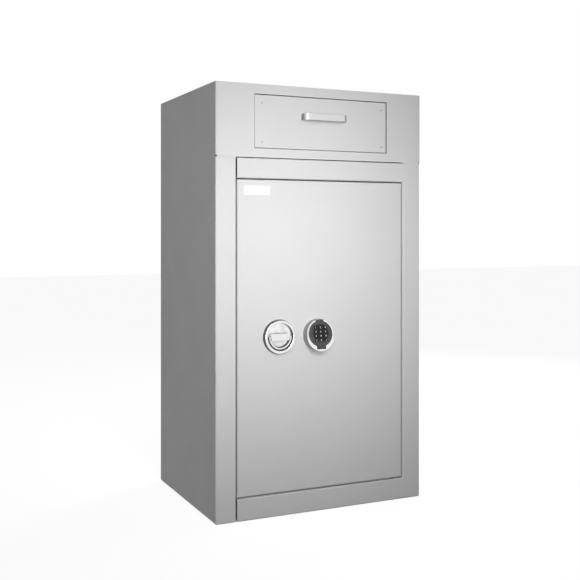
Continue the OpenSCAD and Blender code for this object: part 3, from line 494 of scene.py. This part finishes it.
# Three soft cones, one above the other, light the front, and two panels fill in front and behind
spot("high_lamp", watts=47, cone=46, radius=0.42, place=(-0.50, -1.95, 1.45), target=(-0.14, -0.25, 0.72))
spot("wash_lamp", watts=33, cone=60, radius=0.30, place=(-0.40, -2.05, 1.20), target=(-0.12, -0.25, 0.76))
spot("low_lamp", watts=84, cone=43, radius=0.50, place=(-0.32, -2.10, 0.70), target=(-0.11, -0.25, 0.81))
panel("front_fill", watts=14, size=1.6, place=(-0.7, -2.5, 0.75), target=(-0.1, -0.25, 0.7))
panel("back_fill", watts=30, size=1.2, place=(2.2, 1.6, 1.9), target=(0, 0, 0.6))


# Mesh building
def sort_faces(bm, *rules):
    """Gives each face the number of the first rule that its middle and its normal meet, else 0."""
    bm.normal_update()
    for face in bm.faces:
        place = face.calc_center_median()
        for number, rule in enumerate(rules, 1):
            if rule(place, face.normal):
                face.material_index = number
                break


def add_piece(name, bm, nodes, *materials, smooth=32, even=False, added=False):
    """Makes bm a piece that rides on the body of CAD nodes and, unless it is added to them, stands
    for them."""
    mesh = bpy.data.meshes.new(name)
    bmesh.ops.recalc_face_normals(bm, faces=bm.faces)
    bm.to_mesh(mesh)
    bm.free()
    mesh.polygons.foreach_set("use_smooth", [True] * len(mesh.polygons))
    mesh.set_sharp_from_angle(angle=math.radians(smooth))
    for material in materials:
        mesh.materials.append(material)
    piece = bpy.data.objects.new(name, mesh)
    scene.collection.objects.link(piece)
    if even:
        weighted = piece.modifiers.new("even_normals", "WEIGHTED_NORMAL")
        weighted.keep_sharp = True
    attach(piece, BODY_OF[nodes[0]])
    if not added:
        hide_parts(*nodes)
    return piece


FOOT_HEIGHT = 3.2 * MM
FOOT_DEPTH = 2.5 * MM
ON_SIDE_WALL = 0.3


def tuck_foot(bm):
    """Draws in the outer edges that stand on the floor, which gives the dark line under the sheets."""
    bmesh.ops.bisect_plane(bm, geom=bm.verts[:] + bm.edges[:] + bm.faces[:], dist=1e-6,
                           plane_co=(0, 0, FOOT_HEIGHT), plane_no=(0, 0, 1))
    bm.normal_update()
    moves = []
    for corner in bm.verts:
        if corner.co.z < 1e-5:
            out = sum((f.normal for f in corner.link_faces if abs(f.normal.z) < 0.5), Vector())
            out.z = 0
            if out.y < -0.1 or (out.x * corner.co.x > 0 and abs(corner.co.x) > ON_SIDE_WALL):
                moves.append((corner, out.normalized() * FOOT_DEPTH))
    for corner, move in moves:
        corner.co -= move


EDGE_BAND = 6 * MM
X, Z = 0, 2


def shift_edges(bm, shifts):
    """Moves the corners near a plane along its axis; a shift is the axis, the plane's place and the
    move in mm."""
    for axis, place, move in shifts:
        for corner in bm.verts:
            if abs(corner.co[axis] - place) < EDGE_BAND:
                corner.co[axis] += move * MM


def soften(node, width, segments=2, smooth=50, rules=(), extra=(), foot=False, shifts=()):
    """A copy of a CAD node that stands for the node, its sharp edges rounded over a width in mm. The
    faces that meet a rule get the extra material of that place. A foot has its outer edges tucked
    in. Shifts move some edges."""
    bm = bmesh.new()
    bm.from_mesh(NODES[node].data)
    bmesh.ops.remove_doubles(bm, verts=bm.verts, dist=2e-6)
    bmesh.ops.dissolve_limit(bm, angle_limit=math.radians(0.2), verts=bm.verts, edges=bm.edges)
    if foot:
        tuck_foot(bm)
    shift_edges(bm, shifts)
    sharp = [e for e in bm.edges if len(e.link_faces) == 2 and e.calc_face_angle(0) > math.radians(28)]
    bmesh.ops.bevel(bm, geom=sharp, offset=width * MM, segments=segments, profile=0.5,
                    affect="EDGES", clamp_overlap=True)
    sort_faces(bm, *rules)
    return add_piece(node + "_soft", bm, [node], MATERIALS[SLOT_OF[node]], *extra,
                     smooth=smooth, even=True)


def arc(centre, radius, start, end, steps):
    """Points of an arc, angles in degrees."""
    turns = [math.radians(start + (end - start) * i / steps) for i in range(steps + 1)]
    return [(centre[0] + radius * math.cos(t), centre[1] + radius * math.sin(t)) for t in turns]


def bridge(bm, rings, closed=False):
    """Quads between rings of equal length, and back to the first ring if closed."""
    pairs = list(zip(rings, rings[1:])) + ([(rings[-1], rings[0])] if closed else [])
    for a, b in pairs:
        for i in range(len(a)):
            j = (i + 1) % len(a)
            bm.faces.new((a[i], a[j], b[j], b[i]))


def lathe(bm, centre, profile, steps=128):
    """Turns a closed outline of (radius, height) points, in mm, about an axis along Y; height is
    outwards from the front."""
    rings = []
    for r, h in profile:
        turns = [2 * math.pi * i / steps for i in range(steps)]
        rings.append([bm.verts.new((centre[0] + r * MM * math.cos(t), FRONT - h * MM,
                                    centre[1] + r * MM * math.sin(t))) for t in turns])
    bridge(bm, rings, closed=True)


def pill_ring(bm, centre, w, h, r, y, steps=6):
    """A ring of vertices round a rounded rectangle of w by h and corner radius r, in mm, at depth y;
    each corner has so many steps."""
    ring = []
    for cx, cz, start in ((1, 1, 0), (-1, 1, 90), (-1, -1, 180), (1, -1, 270)):
        for x, z in arc((cx * (w / 2 - r), cz * (h / 2 - r)), r, start, start + 90, steps):
            ring.append(bm.verts.new((centre[0] + x * MM, y, centre[1] + z * MM)))
    return ring


def is_wall(place, normal):
    """True on a face that looks sideways."""
    return abs(normal.y) < 0.55


def distance(place, centre):
    """How far a place is from the line along Y through centre (x, z)."""
    return math.hypot(place.x - centre[0], place.z - centre[1])


# Rosette: a flat-faced ring with rounded edges, drawn in towards its face, and a fine shadow line at
# its foot. All in mm.
ROSETTE_MARGIN = 0.1
ROSETTE_BORE = 38.5
ROSETTE_DRAFT = 2.4
ROSETTE_OUTER_ROUND = 2.0
ROSETTE_INNER_ROUND = 1.0
SHADOW_LINE_DEPTH = 0.5
SHADOW_LINE_TOP = 0.6
WALL_FOOT = 0.9


def rosette():
    low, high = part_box("handle_rosette")
    centre = middle("handle_rosette")
    outside = (high.x - low.x) / MM / 2 - ROSETTE_MARGIN
    height = (FRONT - low.y) / MM
    face = outside - ROSETTE_DRAFT - ROSETTE_OUTER_ROUND, height - ROSETTE_OUTER_ROUND
    lip = ROSETTE_BORE + ROSETTE_INNER_ROUND, height - ROSETTE_INNER_ROUND
    profile = [(ROSETTE_BORE, 0), (outside - SHADOW_LINE_DEPTH, 0),
               (outside - SHADOW_LINE_DEPTH, SHADOW_LINE_TOP), (outside, WALL_FOOT)]
    profile += arc(face, ROSETTE_OUTER_ROUND, 0, 90, 10)
    profile += arc(lip, ROSETTE_INNER_ROUND, 90, 180, 6)
    bm = bmesh.new()
    lathe(bm, centre, profile)
    bmesh.ops.recalc_face_normals(bm, faces=bm.faces)

    def is_outer_wall(place, normal):
        return is_wall(place, normal) and distance(place, centre) > (ROSETTE_BORE + outside) / 2 * MM

    # The outer wall gets the dark chrome and the bore's wall the near-black one: painted shade and
    # painted reflection.
    sort_faces(bm, is_outer_wall, is_wall)
    add_piece("rosette", bm, ["handle_rosette"], MATERIALS["chrome"], WALL_DARK_PAINTED_SHADE, WALL_BLACK_PAINTED_SHADE, smooth=40)


# Keypad front, leaned back: X to the right, +Y inwards, +Z up the slope, from the rim's middle
LEAN = math.radians(10)
PAD_LOW, PAD_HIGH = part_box("keypad_housing")
RIM_MIDDLE = ((PAD_LOW.x + PAD_HIGH.x) / 2, PAD_LOW.y + (PAD_HIGH.z - PAD_LOW.z) / 2 * math.tan(LEAN),
              (PAD_LOW.z + PAD_HIGH.z) / 2)
LEANED = Matrix.Translation(RIM_MIDDLE) @ Matrix.Rotation(-LEAN, 4, "X")


def leaned_box(node):
    """Low and high corner of a node in the coordinates of the keypad's front."""
    back = LEANED.inverted()
    points = [back @ v.co for v in NODES[node].data.vertices]
    return [Vector([pick(p[i] for p in points) for i in range(3)]) for pick in (min, max)]


# Keys: domed caps, each with its printed digit or mark. Lengths without MM are in mm.
DIGIT_HEIGHT = 4.4 * MM
FONT_SIZE_TO_HEIGHT = 1.38
DIGIT_FATTENING = 0.12 * MM
PRINT_RAISE = 0.06 * MM
MARK_STROKE = 0.6
CLEAR_ARM = 1.6 * MM
TICK = [(-2.0, -0.3), (-0.6, -1.7)], [(-0.8, -1.7), (2.2, 1.7)]
KEY_LIP = 1.0
KEY_LIP_CORNER = 0.6
KEY_LIP_HEIGHT = 1.17 * MM
KEY_CORNER = 1.2
KEY_DOME_HEIGHT = 0.8 * MM
KEY_DOME = (0.08, 0.50), (0.30, 0.26), (0.62, 0.12), (1.1, 0.05), (2.0, 0.01)


def glyph(bm, centre, text, y):
    """Adds a thin raised digit to bm, centred, facing the front; its faces get material 1."""
    curve = bpy.data.curves.new("glyph", "FONT")
    curve.body = text
    curve.size = DIGIT_HEIGHT * FONT_SIZE_TO_HEIGHT
    curve.align_x = "CENTER"
    curve.extrude = PRINT_RAISE
    curve.offset = DIGIT_FATTENING
    curve.resolution_u = 4
    holder = bpy.data.objects.new("glyph", curve)
    scene.collection.objects.link(holder)
    mesh = bpy.data.meshes.new_from_object(holder.evaluated_get(bpy.context.evaluated_depsgraph_get()))
    bpy.data.objects.remove(holder)
    mesh.transform(Matrix.Translation((centre[0], y, centre[1] - DIGIT_HEIGHT / 2))
                   @ Matrix.Rotation(math.radians(90), 4, "X"))
    before = len(bm.faces)
    bm.from_mesh(mesh)
    bm.faces.ensure_lookup_table()
    for face in bm.faces[before:]:
        face.material_index = 1
    bpy.data.meshes.remove(mesh)


def bar(bm, a, b, width, y):
    """Adds a thin raised bar from a to b, in metres, of a width in mm; its faces get material 1."""
    along = (Vector(b) - Vector(a)).normalized()
    side = Vector((-along.y, along.x)) * width * MM / 2
    corners = [Vector(a) + side, Vector(b) + side, Vector(b) - side, Vector(a) - side]
    top = [bm.verts.new((p.x, y - PRINT_RAISE, p.y)) for p in corners]
    low = [bm.verts.new((p.x, y + PRINT_RAISE, p.y)) for p in corners]
    faces = [bm.faces.new(top)]
    faces += [bm.faces.new((top[i], top[(i + 1) % 4], low[(i + 1) % 4], low[i])) for i in range(4)]
    for face in faces:
        face.material_index = 1


def key_cap(node, mark):
    """A flanged cap whose dome is a stack of rings, each so far in from the edge and below the top."""
    low, high = leaned_box(node)
    top, ledge = low.y, high.y - KEY_LIP_HEIGHT
    x, z = centre = (low.x + high.x) / 2, (low.z + high.z) / 2
    lip = (high.x - low.x) / MM, (high.z - low.z) / MM
    w, h = (side - 2 * KEY_LIP for side in lip)
    bm = bmesh.new()
    rings = [pill_ring(bm, centre, *lip, KEY_LIP_CORNER, high.y),
             pill_ring(bm, centre, *lip, KEY_LIP_CORNER, ledge),
             pill_ring(bm, centre, w, h, KEY_CORNER, ledge)]
    bm.faces.new(rings[0])
    rings.append(pill_ring(bm, centre, w, h, KEY_CORNER, top + KEY_DOME_HEIGHT))
    for inset, drop in KEY_DOME:
        rings.append(pill_ring(bm, centre, w - 2 * inset, h - 2 * inset, KEY_CORNER, top + drop * MM))
    bridge(bm, rings)
    bm.faces.new(rings[-1])
    printed_at = top + KEY_DOME[-1][1] * MM
    if mark == "clear":
        for s in (-1, 1):
            bar(bm, (x - CLEAR_ARM, z - s * CLEAR_ARM), (x + CLEAR_ARM, z + s * CLEAR_ARM), MARK_STROKE,
                printed_at)
    elif mark == "enter":
        for stroke in TICK:
            bar(bm, *[(x + dx * MM, z + dz * MM) for dx, dz in stroke], MARK_STROKE, printed_at)
    else:
        glyph(bm, centre, mark, printed_at)
    bmesh.ops.transform(bm, matrix=LEANED, verts=bm.verts)
    add_piece(node + "_cap", bm, [node], MATERIALS["key"], LEGEND, smooth=35)


rosette()
for digit in range(10):
    key_cap("key_%d" % digit, str(digit))
key_cap("key_clear", "clear")
key_cap("key_enter", "enter")
# The housing's side walls get the grey chrome: painted shade and painted reflection.
soften("keypad_housing", 0.5, 3, rules=[is_wall], extra=[WALL_GREY_PAINTED_SHADE])
soften("keypad_face", 0.35, 3)
soften("battery_cover", 0.8, 3)


# Handle: the rotor's faces by where they lie. The walls, the low rim under the bail and the low dish get
# darker chrome, painted shade and painted reflection; the rim's foot stays bright and the rest of the
# dish is satin.
CHANNEL_RADIUS = 28.6 * MM
RECESS_HALF_WIDTH = 11 * MM
DISH_REACH = 10 * MM


def in_channel(place, normal):
    """True on the rotor's low rim, under the folded bail; it gets painted shade."""
    return place.z < SPINDLE[1] and distance(place, SPINDLE) > CHANNEL_RADIUS


def in_recess(place, normal):
    """True at the foot of that rim, where a finger gets under the bail."""
    return in_channel(place, normal) and abs(place.x - SPINDLE[0]) < RECESS_HALF_WIDTH


def on_dish(place, normal):
    """True on the dish, which lies deeper than the crossbar and the rim."""
    return place.y > FRONT - DISH_REACH


def on_low_dish(place, normal):
    """True on the dish's half under the crossbar, which gets painted shade, darkest at its rim."""
    return on_dish(place, normal) and place.z < SPINDLE[1]


# The bail's side walls get the dark chrome: painted shade and painted reflection.
soften("handle_bail", 0.5, 3, rules=[is_wall], extra=[WALL_DARK_PAINTED_SHADE])
soften("handle_rotor", 0.6, 3, rules=[is_wall, in_recess, in_channel, on_low_dish, on_dish],
       extra=[WALL_DARK_PAINTED_SHADE, RECESS_LOW, CHANNEL_PAINTED_SHADE, DISH_LOW_PAINTED_SHADE, FACE_SATIN])


# Bow handle of the drawer: its flat ends and its bends get darker copies of the satin aluminium, painted
# shade
def on_bow_end(place, normal):
    """True on the flat ends of the bow."""
    return abs(normal.x) > 0.95


def on_bow_bend(place, normal):
    """True on the bends between the bow's front and its ends."""
    return -0.5 < normal.x < -0.05 or normal.x > 0.12


soften("drawer_handle", 1.1, 3, rules=[on_bow_end, on_bow_bend], extra=[SATIN_SIDE_PAINTED_SHADE, SATIN_BEND_PAINTED_SHADE])


# Screws: the front heads get a cross recess, a thin flat cross of near-black painted shade, each turned
# its own way
SCREW_HEAD_RADIUS = 3 * MM
CROSS_ARM = 1.6 * MM
CROSS_STROKE = 0.8
SCREW_TURNS = 12, 57, 31, 78


def screws():
    bm = bmesh.new()
    bm.from_mesh(NODES["drawer_screws"].data)
    for face in bm.faces:
        face.material_index = 0
    low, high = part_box("drawer_screws")
    places = [(x, z) for x in (low.x + SCREW_HEAD_RADIUS, high.x - SCREW_HEAD_RADIUS)
              for z in (low.z + SCREW_HEAD_RADIUS, high.z - SCREW_HEAD_RADIUS)]
    for (x, z), turn in zip(places, SCREW_TURNS):
        for side in (0, 90):
            along = math.radians(turn + side)
            dx, dz = CROSS_ARM * math.cos(along), CROSS_ARM * math.sin(along)
            bar(bm, (x - dx, z - dz), (x + dx, z + dz), CROSS_STROKE, low.y + PRINT_RAISE / 2)
    add_piece("screws", bm, ["drawer_screws"], SCREW, RECESS_PAINTED_SHADE, smooth=30)


screws()


# Sheet metal. The photograph's gaps round the drawer and over the frame are narrower than the
# solids' 3 mm, so the edges of the opening and of the drawer's front are moved, and both edges of the
# frame's gap; to the right and up count as more. All in mm.
SHEET_ROUND = 0.4
THIN_ROUND = 0.2
FRAME_GAP_CLOSE = 0.67
OPENING_LEFT, OPENING_RIGHT, OPENING_BOTTOM, OPENING_TOP = 2.0, -2.75, 0.45, -3.25
DRAWER_RIGHT, DRAWER_BOTTOM, DRAWER_TOP = -2.05, -1.25, -1.95
SEAM_CORNER = 1.2
SEAM_DEPTH = 4


def ground_seam(name, jamb, side):
    """The joint between a jamb and the top unit, welded and ground flush, from the door's gap to the
    outer edge."""
    _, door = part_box("door_skin")
    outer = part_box("top_front_panel")[1].x
    gap = PANEL_FOOT - FRAME_TOP
    inner = door.x + gap
    centre = side * (inner + outer) / 2, (FRAME_TOP + PANEL_FOOT) / 2
    size = (outer - inner) / MM, gap / MM - 2 * FRAME_GAP_CLOSE + 2 * SHEET_ROUND
    bm = bmesh.new()
    rings = [pill_ring(bm, centre, *size, SEAM_CORNER, y) for y in (FRONT, FRONT + SEAM_DEPTH * MM)]
    bridge(bm, rings)
    for ring in rings:
        bm.faces.new(ring)
    add_piece(name, bm, [jamb], MATERIALS["paint"], added=True)


NOTCH_HEIGHT = -0.2 * MM, 5.2 * MM
NOTCH_DEPTH = 0.8 * MM, 3.5 * MM


def in_notch(place, normal):
    """True in the small relief notch at the top of the jamb's outer fold, which the photograph shows
    dark."""
    height = place.z - FRAME_TOP - FRAME_GAP_CLOSE * MM
    return (NOTCH_HEIGHT[0] < height < NOTCH_HEIGHT[1]
            and NOTCH_DEPTH[0] < place.y - FRONT < NOTCH_DEPTH[1])


ground_seam("seam_left", "left_wall", -1)
ground_seam("seam_right", "front_frame", 1)
# The small notch at the top of each jamb's fold gets the near-black recess colour: painted shade.
for node in ("left_wall", "right_wall", "front_frame"):
    soften(node, SHEET_ROUND, smooth=22, rules=[in_notch], extra=[RECESS_PAINTED_SHADE], foot=True,
           shifts=[(Z, FRAME_TOP, FRAME_GAP_CLOSE)])

low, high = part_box("drawer_front")
soften("top_front_panel", SHEET_ROUND,
       shifts=[(X, low.x, OPENING_LEFT), (X, high.x, OPENING_RIGHT), (Z, low.z, OPENING_BOTTOM),
               (Z, high.z, OPENING_TOP), (Z, PANEL_FOOT, -FRAME_GAP_CLOSE)])
soften("drawer_front", SHEET_ROUND,
       shifts=[(X, high.x, DRAWER_RIGHT), (Z, low.z, DRAWER_BOTTOM), (Z, high.z, DRAWER_TOP)])

for node in ("roof_panel", "back_wall", "base_plate", "door_skin", "door_cover"):
    soften(node, SHEET_ROUND)
for node in ("blank_plate", "drawer_side_left", "drawer_side_right", "drawer_rear",
             "tipping_floor", "fishing_guard"):
    soften(node, THIN_ROUND)
for node in ("locking_bolts", "dead_bolts"):
    soften(node, 1.0, 3)
